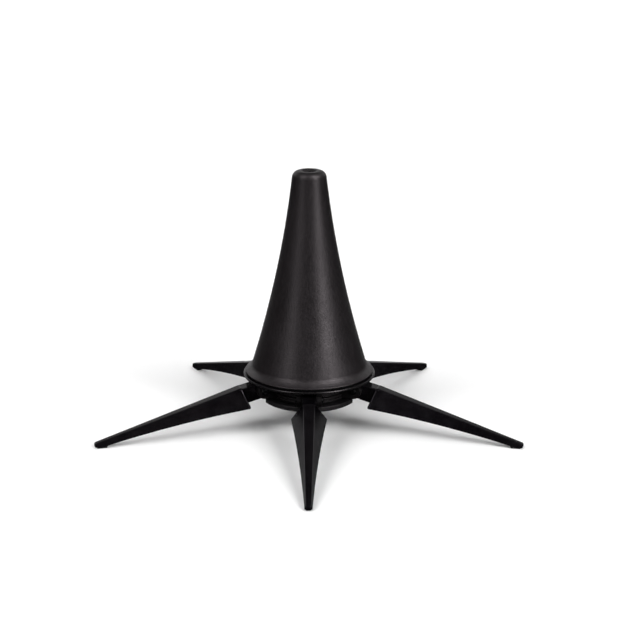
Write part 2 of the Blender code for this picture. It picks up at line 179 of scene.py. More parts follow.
def arc(cx, cz, r, a0, a1, n):
    out = []
    for i in range(n + 1):
        a = math.radians(a0 + (a1 - a0) * i / n)
        out.append((cx + r * math.cos(a), cz + r * math.sin(a)))
    return out


def lerp(a, b, t):
    return a + (b - a) * t


def leg_turn(k):
    return -math.pi / 2 + 2.0 * math.pi * k / LEGS


def gap_turn(k):
    return leg_turn(k) + math.pi / LEGS


def take(ob, node, body):
    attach(ob, body)
    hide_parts(node)


# ------------------------------------------------------------------ materials


class Nodes:
    """Small wrapper to lay out a node material."""

    def __init__(self, name):
        self.m = bpy.data.materials.new(name)
        self.m.use_nodes = True
        self.t = self.m.node_tree
        self.b = self.t.nodes["Principled BSDF"]
        self.co = self.t.nodes.new("ShaderNodeTexCoord").outputs["Object"]

    def new(self, kind, **props):
        n = self.t.nodes.new(kind)
        for k, v in props.items():
            setattr(n, k, v)
        return n

    def join(self, a, b):
        self.t.links.new(a, b)

    def noise(self, scale, detail=3.0, rough=0.55, stretch=None, distort=0.0):
        n = self.new("ShaderNodeTexNoise")
        n.inputs["Scale"].default_value = scale
        n.inputs["Detail"].default_value = detail
        n.inputs["Roughness"].default_value = rough
        n.inputs["Distortion"].default_value = distort
        src = self.co
        if stretch is not None:
            mp = self.new("ShaderNodeMapping")
            mp.inputs["Scale"].default_value = stretch
            self.join(src, mp.inputs["Vector"])
            src = mp.outputs["Vector"]
        self.join(src, n.inputs["Vector"])
        return n.outputs["Fac"]

    def cells(self, scale, feature='F1'):
        n = self.new("ShaderNodeTexVoronoi", feature=feature)
        n.inputs["Scale"].default_value = scale
        self.join(self.co, n.inputs["Vector"])
        return n.outputs["Distance"]

    def remap(self, src, a, b, c, d):
        n = self.new("ShaderNodeMapRange")
        for i, v in zip(("From Min", "From Max", "To Min", "To Max"), (a, b, c, d)):
            n.inputs[i].default_value = v
        self.join(src, n.inputs["Value"])
        return n.outputs["Result"]

    def math(self, op, a, b):
        n = self.new("ShaderNodeMath", operation=op)
        for i, v in enumerate((a, b)):
            if isinstance(v, (int, float)):
                n.inputs[i].default_value = v
            else:
                self.join(v, n.inputs[i])
        return n.outputs["Value"]

    def mix(self, fac, a, b):
        n = self.new("ShaderNodeMix", data_type='RGBA')
        if isinstance(fac, (int, float)):
            n.inputs[0].default_value = fac
        else:
            self.join(fac, n.inputs[0])
        for i, v in ((6, a), (7, b)):
            if isinstance(v, tuple):
                n.inputs[i].default_value = (v[0], v[1], v[2], 1.0)
            else:
                self.join(v, n.inputs[i])
        return n.outputs[2]

    def bump(self, height, strength, distance, below=None):
        n = self.new("ShaderNodeBump")
        n.inputs["Strength"].default_value = strength
        n.inputs["Distance"].default_value = distance
        self.join(height, n.inputs["Height"])
        if below is not None:
            self.join(below, n.inputs["Normal"])
        return n.outputs["Normal"]

    def edges(self, lo=0.5, hi=0.56):
        g = self.new("ShaderNodeNewGeometry")
        return self.remap(g.outputs["Pointiness"], lo, hi, 0.0, 1.0)

    def radius(self):
        """Distance from the object's own vertical axis."""
        s = self.new("ShaderNodeSeparateXYZ")
        self.join(self.co, s.inputs[0])
        xx = self.math('MULTIPLY', s.outputs["X"], s.outputs["X"])
        yy = self.math('MULTIPLY', s.outputs["Y"], s.outputs["Y"])
        return self.math('SQRT', self.math('ADD', xx, yy), 0.0)

    def sheen(self, level, tint):
        """Strength and tint of the surface reflection."""
        self.b.inputs["Specular IOR Level"].default_value = level
        self.b.inputs["Specular Tint"].default_value = (tint[0], tint[1], tint[2], 1.0)

    def out(self, color, rough, normal=None):
        self.join(color, self.b.inputs["Base Color"])
        self.join(rough, self.b.inputs["Roughness"])
        if normal is not None:
            self.join(normal, self.b.inputs["Normal"])
        return self.m


def plastic(name, dark, light, r0, r1, grain, grain_depth, spec=0.5, wear=0.0, mottle=0.0, inner=None):
    """Moulded black plastic: spark-eroded grain, faint flow clouds, a few rubbed streaks.

    inner = (r0, r1, extra): inside radius r0 the surface is rougher by extra and its colour is darkened as painted
    shade, both fading out by r1.
    """
    n = Nodes(name)
    cloud = n.noise(28.0, 4.0, 0.6)
    patch = n.noise(105.0, 5.0, 0.65)
    fleck = n.noise(grain * 0.42, 2.0, 0.7)
    tint = n.math('ADD', n.remap(cloud, 0.35, 0.65, 0.0, 0.45), n.remap(fleck, 0.4, 0.7, 0.0, 0.55))
    color = n.mix(tint, dark, light)
    if wear:
        color = n.mix(n.math('MULTIPLY', n.edges(), wear), color, (0.05, 0.05, 0.05))
    streak = n.noise(260.0, 3.0, 0.6, stretch=(1.0, 1.0, 0.12))
    rough = n.math('ADD', n.remap(cloud, 0.3, 0.7, r0, r1), n.remap(streak, 0.55, 0.75, 0.0, -0.05))
    rough = n.math('ADD', rough, n.remap(patch, 0.35, 0.65, -0.035, 0.035))
    rough = n.math('ADD', rough, n.remap(fleck, 0.35, 0.65, -0.05, 0.05))
    fine = n.noise(grain, 3.0, 0.75)
    pits = n.cells(grain * 0.8)
    h = n.math('ADD', fine, n.math('MULTIPLY', pits, 0.6))
    nrm = n.bump(h, 0.5, grain_depth * MM)
    if mottle:
        nrm = n.bump(fleck, 1.0, mottle * MM, nrm)
    if inner is not None:
        inner_rough_and_shade = n.remap(n.radius(), inner[0] * MM, inner[1] * MM, 1.0, 0.0)
        rough = n.math('ADD', rough, n.math('MULTIPLY', inner_rough_and_shade, inner[2]))
        # painted shade: inside the inner radius the colour is pulled to 0.35 of the dark tone, standing in for the
        # shade in a hole or recess
        color = n.mix(inner_rough_and_shade, color, tuple(0.35 * c for c in dark))
    n.sheen(spec, (1.0, 0.915, 0.95))
    return n.out(color, rough, nrm)


def coat(name):
    """Semi-gloss black powder coat on a die casting: orange peel, dust nibs, rubbed edges."""
    n = Nodes(name)
    cloud = n.noise(45.0, 3.0, 0.55)
    peel = n.noise(1500.0, 2.0, 0.5)
    nib = n.noise(2600.0, 2.0, 0.6)
    color = n.mix(n.remap(cloud, 0.35, 0.65, 0.0, 1.0), (0.0010, 0.0008, 0.0011), (0.0020, 0.0017, 0.0022))
    rub = n.math('MULTIPLY', n.edges(0.505, 0.57), n.remap(n.noise(190.0, 4.0, 0.7), 0.4, 0.65, 0.1, 0.8))
    color = n.mix(rub, color, (0.014, 0.013, 0.0145))
    rough = n.math('ADD', n.remap(cloud, 0.3, 0.7, 0.17, 0.22), n.math('MULTIPLY', rub, 0.08))
    h = n.math('ADD', peel, n.math('MULTIPLY', nib, 0.35))
    nrm = n.bump(h, 0.25, 0.014 * MM)
    n.sheen(0.26, (0.98, 0.88, 1.0))
    return n.out(color, rough, nrm)


def rubber(name):
    n = Nodes(name)
    cloud = n.noise(300.0, 4.0, 0.6)
    dust = n.noise(2200.0, 3.0, 0.7)
    color = n.mix(n.remap(dust, 0.5, 0.8, 0.0, 1.0), (0.004, 0.004, 0.004), (0.014, 0.0135, 0.013))
    rough = n.remap(cloud, 0.3, 0.7, 0.68, 0.86)
    nrm = n.bump(n.noise(3200.0, 3.0, 0.7), 0.5, 0.03 * MM)
    return n.out(color, rough, nrm)


def steel(name, base, lit):
    n = Nodes(name)
    lines = n.noise(1400.0, 3.0, 0.65, stretch=(0.15, 1.0, 1.0))
    color = n.mix(n.remap(lines, 0.35, 0.7, 0.0, 1.0), base, lit)
    rough = n.remap(n.noise(500.0, 3.0, 0.6), 0.3, 0.7, 0.28, 0.45)
    nrm = n.bump(lines, 0.3, 0.01 * MM)
    n.b.inputs["Metallic"].default_value = 1.0
    return n.out(color, rough, nrm)


# peg: inner darkens the top hole as painted shade, and makes it rougher
peg_mat = plastic("peg_plastic", (0.0056, 0.0046, 0.0051), (0.0098, 0.0082, 0.0090), 0.40, 0.46, 2300.0, 0.035, 0.44, mottle=0.07, inner=(2.5, 3.4, 0.35))
# hub: inner darkens everything inside the flange lip (collar, ears, web, neck) as painted shade, and makes it rougher
hub_mat = plastic("hub_plastic", (0.0012, 0.0010, 0.0012), (0.0028, 0.0025, 0.0029), 0.27, 0.34, 2600.0, 0.03, 0.45, 0.05, inner=(26.6, 28.6, 0.24))
plate_mat = plastic("plate_plastic", (0.0032, 0.0031, 0.0034), (0.0072, 0.0070, 0.0076), 0.36, 0.46, 1900.0, 0.05, 0.36, 0.12)
leg_mat = coat("leg_coat")
pad_mat = rubber("pad_rubber")
washer_mat = rubber("washer_rubber")
pin_mat = steel("pin_steel", (0.018, 0.018, 0.019), (0.045, 0.045, 0.047))
screw_mat = steel("screw_steel", (0.08, 0.08, 0.085), (0.17, 0.17, 0.175))

# ------------------------------------------------------------------ sizes shared with the CAD
PLATE_R, PLATE_T, SEAM = 22.0, 2.5, 0.25
COLLAR_R, COLLAR_RIDGE_R = 17.0, 18.1
FLANGE_R, FLANGE_UNDER_Z, FLANGE_TOP_Z = 29.9, 11.4, 12.5
WEB_UNDER_Z, WEB_R = 10.9, 25.6
NECK_TOP_Z, NECK_INNER_R = 21.6, 18.8
HUB_BORE_R, HUB_FLOOR_Z, CUP_FLOOR_Z = 11.4, 5.8, 14.4
THREAD_PITCH, THREAD_MEAN_R, THREAD_DEPTH, THREAD_GAP = 3.0, 21.9, 0.8, 0.4
WASHER_OUT_R, WASHER_IN_R, WASHER_Z0, WASHER_Z1 = 27.9, 23.4, 12.62, 13.18
PEG_BASE_Z, PEG_RIM_R = 13.3, 28.95
PEG_KICK_Z, PEG_KICK_R = 17.6, 25.68
PEG_SHOULDER_Z, PEG_SHOULDER_R = 102.4, 7.7
PEG_SLOPE_TOP = 0.119
PEG_TOP_Z, PEG_TOP_ROUND, PEG_HOLE_R = 105.5, 3.2, 2.45
PEG_WALL, PEG_TOP_WALL, BORE_TOP_Z = 2.0, 3.2, 21.95
PIVOT_R, PIVOT_Z = 22.5, 6.6
SLOT_HALF, SLOT_IN_R, SLOT_TOP_Z = 3.3, 16.5, 10.4
EAR_HALF, EAR_R = 5.5, 3.5
PIN_R, PIN_GAP, PIN_HEAD_R, PIN_HEAD_T = 1.2, 0.1, 1.8, 0.8
SCREW_R, SCREW_HEAD_R, SCREW_HEAD_T, SCREW_SINK = 13.9, 2.2, 1.2, 0.25
SCREW_SHANK_R, SCREW_TOP_Z, CBORE_R, CBORE_D = 1.05, 8.6, 2.5, 1.6

SEG = 144


def thread_r(z, extra, strength):
    def r(a):
        wave = math.cos(2.0 * math.pi * z / THREAD_PITCH - a)
        return THREAD_MEAN_R + extra + 0.5 * THREAD_DEPTH * (wave * strength - (1.0 - strength))
    return r


def thread_levels(z0, z1, n, extra, fade0, fade1):
    out = []
    for i in range(n + 1):
        z = lerp(z0, z1, i / n)
        s = 1.0
        if fade0 and z - z0 < fade0:
            s = (z - z0) / fade0
        if fade1 and z1 - z < fade1:
            s = (z1 - z) / fade1
        out.append((z, thread_r(z, extra, s)))
    return out


# ------------------------------------------------------------------ peg
def wall_r(z):
    t = PEG_SHOULDER_Z - z
    span = PEG_SHOULDER_Z - PEG_KICK_Z
    bend = (PEG_KICK_R - PEG_SHOULDER_R - PEG_SLOPE_TOP * span) / (span * span)
    return PEG_SHOULDER_R + PEG_SLOPE_TOP * t + bend * t * t


def smooth_line(points, steps):
    """Catmull-Rom through (z, r) points."""
    out = []
    n = len(points)
    for i in range(n - 1):
        p0, p1, p2, p3 = points[max(i - 1, 0)], points[i], points[i + 1], points[min(i + 2, n - 1)]
        for k in range(steps):
            t = k / steps
            v = []
            for c in range(2):
                v.append(0.5 * ((2 * p1[c]) + (-p0[c] + p2[c]) * t + (2 * p0[c] - 5 * p1[c] + 4 * p2[c] - p3[c]) * t * t
                                + (-p0[c] + 3 * p1[c] - 3 * p2[c] + p3[c]) * t ** 3))
            out.append(tuple(v))
    out.append(points[-1])
    return out


def build_peg():
    lv = [(PEG_BASE_Z, 23.4), (PEG_BASE_Z, 26.0)]
    lv += rounded([(PEG_BASE_Z, 27.0, 0), (PEG_BASE_Z, PEG_RIM_R, 0.34), (PEG_BASE_Z + 0.4, PEG_RIM_R, 0.3),
                   (PEG_BASE_Z + 0.95, PEG_RIM_R - 0.75, 0)], 4)[:-1]
    flare = PEG_KICK_Z - PEG_BASE_Z - 0.38
    reach = PEG_RIM_R - PEG_KICK_R
    pts = [(PEG_BASE_Z + 0.38 + flare * t, PEG_RIM_R - reach * u)
           for t, u in ((0.1, 0.17), (0.2, 0.34), (0.35, 0.55), (0.52, 0.74), (0.75, 0.91))]
    pts += [(PEG_KICK_Z, PEG_KICK_R), (PEG_KICK_Z + 2.0, wall_r(PEG_KICK_Z + 2.0))]
    lv += smooth_line(pts, 4)[:-1]
    n = 40
    for i in range(n + 1):
        z = lerp(PEG_KICK_Z + 2.0, PEG_SHOULDER_Z, i / n)
        lv.append((z, wall_r(z)))
    cr = wall_r(PEG_SHOULDER_Z) - PEG_TOP_ROUND
    for x, z in arc(cr, PEG_TOP_Z - PEG_TOP_ROUND, PEG_TOP_ROUND, 12, 90, 12):
        lv.append((z, x))
    lv += rounded([(PEG_TOP_Z, cr - 0.2, 0), (PEG_TOP_Z, PEG_HOLE_R + 1.25, 0.6), (PEG_TOP_Z - 0.75, PEG_HOLE_R, 0.5),
                   (PEG_TOP_Z - 2.4, PEG_HOLE_R, 0)], 5)[1:]
    lv.append((PEG_TOP_Z - PEG_TOP_WALL + 0.4, PEG_HOLE_R))
    lv.append((PEG_TOP_Z - PEG_TOP_WALL, PEG_HOLE_R + 0.4))
    zt = PEG_TOP_Z - PEG_TOP_WALL - 1.0
    lv.append((zt, wall_r(zt) - PEG_WALL))
    z_end = BORE_TOP_Z + 1.6
    n = 20
    for i in range(1, n + 1):
        z = lerp(zt, z_end, i / n)
        lv.append((z, wall_r(z) - PEG_WALL))
    lv.append((BORE_TOP_Z + 0.25, THREAD_MEAN_R + THREAD_GAP + 0.25))
    lv.extend(reversed(thread_levels(PEG_BASE_Z + 0.55, BORE_TOP_Z, 34, THREAD_GAP, 0.0, 0.7)))
    ob = link("peg", turned(lv, SEG, True), peg_mat)
    shade(ob, 40, False)
    take(ob, "peg_cone", "peg")
    return ob


def build_washer():
    lv = rounded([(WASHER_Z0, WASHER_IN_R + 1.0, 0), (WASHER_Z0, WASHER_OUT_R, 0.2), (WASHER_Z1, WASHER_OUT_R, 0.2),
                  (WASHER_Z1, WASHER_IN_R + 1.0, 0)], 3)
    lv += [(WASHER_Z1, WASHER_IN_R + 0.1), (WASHER_Z1 - 0.1, WASHER_IN_R), (WASHER_Z0 + 0.1, WASHER_IN_R), (WASHER_Z0, WASHER_IN_R + 0.1)]
    ob = link("washer", turned(lv, SEG, True), washer_mat)
    bm = bmesh.new()
    for k in range(2):
        box(bm, WASHER_IN_R - 0.55, WASHER_IN_R + 0.8, -1.6, 1.6, WASHER_Z0 + 0.12, WASHER_Z1 - 0.12, math.pi * k)
    combine(ob, bm, 'UNION')
    shade(ob, 40)
    take(ob, "friction_washer", "washer")


# ------------------------------------------------------------------ hub
def build_hub():
    z0 = PLATE_T + SEAM
    lv = [(z0, 10.0)]
    lv += rounded([(z0, 12.0, 0), (z0, COLLAR_RIDGE_R, 0.25), (z0 + 1.0, COLLAR_RIDGE_R, 0.22), (z0 + 1.12, COLLAR_RIDGE_R - 0.45, 0.08),
                   (z0 + 1.36, COLLAR_RIDGE_R - 0.45, 0.08), (z0 + 1.5, COLLAR_RIDGE_R - 0.1, 0.2), (z0 + 2.3, COLLAR_RIDGE_R - 0.1, 0.25),
                   (z0 + 2.62, COLLAR_R, 0.3), (WEB_UNDER_Z - 0.8, COLLAR_R, 0.3), (WEB_UNDER_Z, COLLAR_R + 0.9, 0.3),
                   (WEB_UNDER_Z, WEB_R, 0.15), (FLANGE_UNDER_Z, WEB_R + 0.6, 0.15),
                   (FLANGE_UNDER_Z, FLANGE_R, 0.5), (FLANGE_TOP_Z, FLANGE_R, 0.5), (FLANGE_TOP_Z, THREAD_MEAN_R - 0.5, 0)], 4)
    lv += thread_levels(FLANGE_TOP_Z + 0.5, NECK_TOP_Z, 36, 0.0, 0.6, 0.9)
    lv += [(NECK_TOP_Z, NECK_INNER_R + 0.3), (NECK_TOP_Z - 0.3, NECK_INNER_R), (CUP_FLOOR_Z, NECK_INNER_R),
           (CUP_FLOOR_Z, HUB_BORE_R + 0.4), (CUP_FLOOR_Z - 0.4, HUB_BORE_R), (HUB_FLOOR_Z, HUB_BORE_R)]
    ob = link("hub", turned(lv, SEG, False), hub_mat)

    bm = bmesh.new()
    lip = PLATE_R + SEAM + 0.1
    a0 = -math.degrees(math.acos((lip - PIVOT_R) / EAR_R))
    out = [(COLLAR_R - 1.4, WEB_UNDER_Z + 0.4), (COLLAR_R - 1.4, z0 + 0.1), (lip, z0 + 0.1)]
    out += arc(PIVOT_R, PIVOT_Z, EAR_R, a0, 40, 22)
    out += [(WEB_R, WEB_UNDER_Z - 0.3), (WEB_R - 0.1, WEB_UNDER_Z + 0.4)]
    for k in range(LEGS):
        prism(bm, out, -EAR_HALF, EAR_HALF, leg_turn(k))
    lugs = link("lugs", bm)
    soften(lugs, 0.32, 3, 50)
    bm = bmesh.new()
    bm.from_mesh(lugs.data)
    bpy.data.objects.remove(lugs, do_unlink=True)
    combine(ob, bm, 'UNION')

    bm = bmesh.new()
    for k in range(LEGS):
        box(bm, SLOT_IN_R, 34.0, -SLOT_HALF, SLOT_HALF, 1.0, SLOT_TOP_Z, leg_turn(k))
    combine(ob, bm, 'DIFFERENCE')
    bm = bmesh.new()
    for k in range(LEGS):
        t = leg_turn(k)
        c = Matrix.Rotation(t, 4, 'Z') @ Matrix.Translation((PIVOT_R * MM, 0, PIVOT_Z * MM)) @ Matrix.Rotation(math.pi / 2, 4, 'X')
        rod(bm, PIN_R + PIN_GAP, 2 * EAR_HALF + 3.0, c, 32)
    for k in range(LEGS):
        t = gap_turn(k)
        top = SCREW_TOP_Z + 0.5
        c = Matrix.Rotation(t, 4, 'Z') @ Matrix.Translation((SCREW_R * MM, 0, 0.5 * (top + 1.0) * MM))
        rod(bm, SCREW_SHANK_R + 0.12, top - 1.0, c, 24)
    combine(ob, bm, 'DIFFERENCE')
    shade(ob, 36)
    take(ob, "hub_body", "hub")


def build_plate():
    lv = rounded([(0.0, 15.0, 0), (0.0, PLATE_R - 1.0, 0.5), (0.62, PLATE_R, 0.35), (PLATE_T, PLATE_R, 0.4), (PLATE_T, 15.0, 0)], 5)
    ob = link("plate", turned(lv, SEG, False), plate_mat)
    bm = bmesh.new()
    for k in range(LEGS):
        box(bm, SLOT_IN_R, 30.0, -SLOT_HALF, SLOT_HALF, -2.0, PLATE_T + 2.0, leg_turn(k))
    combine(ob, bm, 'DIFFERENCE')
    bm = bmesh.new()
    for k in range(LEGS):
        c = Matrix.Rotation(gap_turn(k), 4, 'Z') @ Matrix.Translation((SCREW_R * MM, 0, (CBORE_D - 5.0 * 0.5) * MM))
        rod(bm, CBORE_R, 5.0, c, 40)
    combine(ob, bm, 'DIFFERENCE')
    bm = bmesh.new()
    for k in range(LEGS):
        c = Matrix.Rotation(gap_turn(k), 4, 'Z') @ Matrix.Translation((SCREW_R * MM, 0, 2.0 * MM))
        rod(bm, SCREW_SHANK_R + 0.25, 8.0, c, 28)
    combine(ob, bm, 'DIFFERENCE')
    soften(ob, 0.16, 2, 50)
    shade(ob, 36)
    take(ob, "base_plate", "hub")


def build_screw(k):
    z0 = SCREW_SINK
    z1 = SCREW_SINK + SCREW_HEAD_T
    lv = rounded([(z0, 1.2, 0), (z0 + 0.05, 1.7, 0.2), (z0 + 0.5, SCREW_HEAD_R, 0.35), (z1, SCREW_HEAD_R, 0.08), (z1, SCREW_SHANK_R, 0.05),
                  (SCREW_TOP_Z - 0.6, SCREW_SHANK_R, 0.1), (SCREW_TOP_Z, SCREW_SHANK_R - 0.45, 0)], 4)
    ob = link("screw_%d" % (k + 1), turned(lv, 40, False), screw_mat)
    bm = bmesh.new()
    rod(bm, 1.0, 1.6, Matrix.Translation((0, 0, (z0 - 0.8 + 0.75) * MM)), 6)
    combine(ob, bm, 'DIFFERENCE')
    t = gap_turn(k)
    ob.location = (SCREW_R * math.cos(t) * MM, SCREW_R * math.sin(t) * MM, 0.0)
    ob.rotation_euler = (0.0, 0.0, t + 0.37 * k)
    shade(ob, 36)
    take(ob, "hub_screw_%d" % (k + 1), "hub")


def build_pin(k):
    a = EAR_HALF + 0.15
    lv = rounded([(-a - PIN_HEAD_T + 0.06, 0.5, 0), (-a - PIN_HEAD_T, 0.62, 0.1), (-a - PIN_HEAD_T, 1.2, 0.5), (-a - 0.35, PIN_HEAD_R, 0.4),
                  (-a, PIN_HEAD_R, 0.08), (-a, PIN_R, 0.04), (a, PIN_R, 0.04), (a, PIN_HEAD_R - 0.25, 0.1),
                  (a + 0.5, PIN_HEAD_R - 0.45, 0.4), (a + 0.7, PIN_HEAD_R - 1.1, 0.2), (a + 0.62, 0.4, 0)], 5)
    bm = turned(lv, 40, False)
    bmesh.ops.rotate(bm, cent=(0, 0, 0), matrix=Matrix.Rotation(math.pi / 2, 3, 'X'), verts=bm.verts)
    ob = link("pin_%d" % (k + 1), bm, pin_mat)
    t = leg_turn(k)
    ob.location = (PIVOT_R * math.cos(t) * MM, PIVOT_R * math.sin(t) * MM, PIVOT_Z * MM)
    ob.rotation_euler = (0.0, 0.0, t)
    shade(ob, 36, False)
    take(ob, "hinge_pin_%d" % (k + 1), "hub")


# ------------------------------------------------------------------ legs
TIP_R = 100.0
NECK_HALF, ROOT_R = 3.0, 3.5
RIDGE_H30, RIDGE_HTIP, RIDGE_W30, RIDGE_WTIP = 22.6, 2.4, 2.6, 1.2
FLANGE_H30, FLANGE_HTIP, FLANGE_W30, FLANGE_WTIP = 13.45, -0.25, 8.15, 1.6
FLANGE_ARCH, FLANGE_WAIST, FLANGE_MIN_H = 1.0, 0.6, 0.62
SHOULDER_TOP_S, SHOULDER_BOT_S, TIP_ROUND = 32.5, 29.6, 0.9
NECK_UNDER_H, NECK_UNDER_FALL = 16.3, 0.235
LEG_WALL, CHANNEL_END_S = 1.3, 89.0
PAD_S0, PAD_S1, PAD_HALF, PAD_GAP = 94.0, 98.9, 1.45, 0.15
PAD_PEG_S, PAD_PEG_R = 96.2, 0.55
PIVOT_H = PIVOT_Z - FLOOR_Z


def along(v30, vtip, s):
    return lerp(v30, vtip, (s - 30.0) / (TIP_R - 30.0))


def ridge(s):
    return along(RIDGE_H30, RIDGE_HTIP, s) - PIVOT_H, along(RIDGE_W30, RIDGE_WTIP, s)


def flange(s):
    bow = (s - 30.0) * (TIP_R - s) / (0.25 * (TIP_R - 30.0) ** 2)
    h = along(FLANGE_H30, FLANGE_HTIP, s) + FLANGE_ARCH * bow
    return max(h, FLANGE_MIN_H) - PIVOT_H, along(FLANGE_W30, FLANGE_WTIP, s) - FLANGE_WAIST * bow


def sections(bm, rows):
    """Loft four-cornered sections, given tip-most last; returns the vertex rings."""
    rings = [[bm.verts.new(Vector(p) * MM) for p in row] for row in rows]
    for a, b in zip(rings, rings[1:]):
        bridge(bm, a, b)
    bm.faces.new(rings[0])
    bm.faces.new(rings[-1])
    return rings


def place(ob, k):
    t = leg_turn(k)
    ob.location = (PIVOT_R * math.cos(t) * MM, PIVOT_R * math.sin(t) * MM, PIVOT_Z * MM)
    ob.rotation_euler = (0.0, 0.0, t)


def leg_mesh():
    bm = bmesh.new()
    rows = []
    steps = [0.0, 0.03] + [0.06 * i for i in range(1, 16)] + [0.945, 0.97, 1.0]
    for t in steps:
        st = lerp(SHOULDER_TOP_S, TIP_R, t)
        sb = lerp(SHOULDER_BOT_S, TIP_R - 0.35, t)
        zr, wr = ridge(st)
        zf, wf = flange(sb)
        rows.append([(st - PIVOT_R, -wr, zr), (sb - PIVOT_R, -wf, zf), (sb - PIVOT_R, wf, zf), (st - PIVOT_R, wr, zr)])
    rings = sections(bm, rows)
    bmesh.ops.recalc_face_normals(bm, faces=bm.faces)
    end = set(rings[-1])
    shoulder = set(rings[0])
    tip = [e for e in bm.edges if e.verts[0] in end and e.verts[1] in end and e.verts[0].co.z + e.verts[1].co.z > 2.0 * (rings[-1][1].co.z + 0.05 * MM)]
    bmesh.ops.bevel(bm, geom=tip, offset=TIP_ROUND * MM, segments=5, profile=0.5, affect='EDGES', clamp_overlap=True)
    shoulder = [v for v in shoulder if v.is_valid]
    sel = [e for e in bm.edges if e.verts[0] in shoulder and e.verts[1] in shoulder]
    bmesh.ops.bevel(bm, geom=sel, offset=0.75 * MM, segments=5, profile=0.5, affect='EDGES', clamp_overlap=True)
    ob = link("leg", bm)
    soften(ob, 0.3, 3, 32)

    bm = bmesh.new()
    rows = []
    for i in range(13):
        t = i / 12.0
        st = lerp(SHOULDER_TOP_S + 2.3, CHANNEL_END_S, t)
        sb = lerp(SHOULDER_BOT_S + 1.5, CHANNEL_END_S, t)
        zr, wr = ridge(st)
        zf, wf = flange(st)
        slant = math.hypot(wf - wr, zr - zf) / (zr - zf)
        run = (wf - wr) / (zr - zf)
        top_z = zr - LEG_WALL
        top_w = max(wr + LEG_WALL * run - LEG_WALL * slant, 0.16)
        zf, wf = flange(sb)
        bot_z = zf - 3.0
        bot_w = max(wf - LEG_WALL * slant, 0.3) + 3.0 * run * 0.5
        rows.append([(st - PIVOT_R, -top_w, top_z), (sb - PIVOT_R, -bot_w, bot_z), (sb - PIVOT_R, bot_w, bot_z), (st - PIVOT_R, top_w, top_z)])
    sections(bm, rows)
    combine(ob, bm, 'DIFFERENCE')

    bm = bmesh.new()
    reach = SHOULDER_TOP_S + 1.6 - PIVOT_R
    under = NECK_UNDER_H - PIVOT_H
    drop = 0.18
    z_at = lambda x: ridge(PIVOT_R + x)[0] - drop
    out = arc(0.0, 0.0, ROOT_R, 90, 254, 24)
    out += [(1.2, under - NECK_UNDER_FALL * 1.2), (reach - 2.2, under - NECK_UNDER_FALL * (reach - 2.2)), (reach, z_at(reach) - 2.0),
            (reach, z_at(reach)), (1.0, min(z_at(1.0), ROOT_R))]
    prism(bm, out, -NECK_HALF, NECK_HALF)
    neck = link("neck", bm)
    soften(neck, 0.38, 3, 50)
    bm = bmesh.new()
    bm.from_mesh(neck.data)
    bpy.data.objects.remove(neck, do_unlink=True)
    combine(ob, bm, 'UNION')

    bm = bmesh.new()
    rod(bm, PIN_R + PIN_GAP, 12.0, Matrix.Rotation(math.pi / 2, 4, 'X'), 32)
    zf = flange(PAD_PEG_S)[0]
    rod(bm, PAD_PEG_R + 0.12, 4.0, Matrix.Translation(((PAD_PEG_S - PIVOT_R) * MM, 0, (zf + 1.25 - 2.0) * MM)), 20)
    combine(ob, bm, 'DIFFERENCE')
    me = ob.data
    bpy.data.objects.remove(ob, do_unlink=True)
    return me


def pad_mesh():
    bm = bmesh.new()
    low = -PIVOT_H
    rows = []
    for s, ease in ((PAD_S0, 0.5), (95.8, 0.0), (96.7, 0.0), (PAD_S1, -0.25)):
        z = flange(s)[0] - PAD_GAP
        x = s - PIVOT_R
        w = lerp(PAD_HALF, 1.0, (s - PAD_S0) / (PAD_S1 - PAD_S0))
        rows.append([(x + ease, -w, low), (x, -w, z), (x, w, z), (x + ease, w, low)])
    sections(bm, rows)
    ob = link("pad", bm)
    soften(ob, 0.24, 3)
    bm = bmesh.new()
    zf = flange(PAD_PEG_S)[0]
    rod(bm, PAD_PEG_R, 1.3, Matrix.Translation(((PAD_PEG_S - PIVOT_R) * MM, 0, (zf + 0.95 - 0.65) * MM)), 20)
    combine(ob, bm, 'UNION')
    me = ob.data
    bpy.data.objects.remove(ob, do_unlink=True)
    return me


build_peg()
build_washer()
build_hub()
build_plate()
leg_me = leg_mesh()
pad_me = pad_mesh()
for k in range(LEGS):
    build_pin(k)
    build_screw(k)
    for me, mat, name, node, slot, ang in ((leg_me, leg_mat, "leg", "leg_%d", "leg", 30.0), (pad_me, pad_mat, "pad", "foot_pad_%d", "pad", 30.0)):
        m = me.copy()
        m.materials.clear()
        m.materials.append(mat)
        ob = bpy.data.objects.new("%s_part_%d" % (name, k + 1), m)
        bpy.context.scene.collection.objects.link(ob)
        place(ob, k)
        shade(ob, ang)
        take(ob, node % (k + 1), "leg_%d" % (k + 1))
for me in (leg_me, pad_me):
    bpy.data.meshes.remove(me)

# ------------------------------------------------------------------ floor, light, camera
bm = bmesh.new()
bmesh.ops.create_circle(bm, cap_ends=True, segments=96, radius=4.0, matrix=Matrix.Translation((0, 0, FLOOR_Z * MM)))
floor = link("floor", bm)
fl = Nodes("floor_white")
fcol = fl.mix(fl.remap(fl.noise(6.0, 3.0, 0.5), 0.3, 0.7, 0.0, 1.0), (0.90, 0.90, 0.90), (0.93, 0.93, 0.93))
fl.out(fcol, fl.remap(fl.noise(30.0, 2.0, 0.5), 0.3, 0.7, 0.75, 0.85))
fl.b.inputs["Specular IOR Level"].default_value = 0.2
floor.data.materials.append(fl.m)
floor.visible_glossy = False      # the black parts mirror the dimmer studio, not the lit sweep


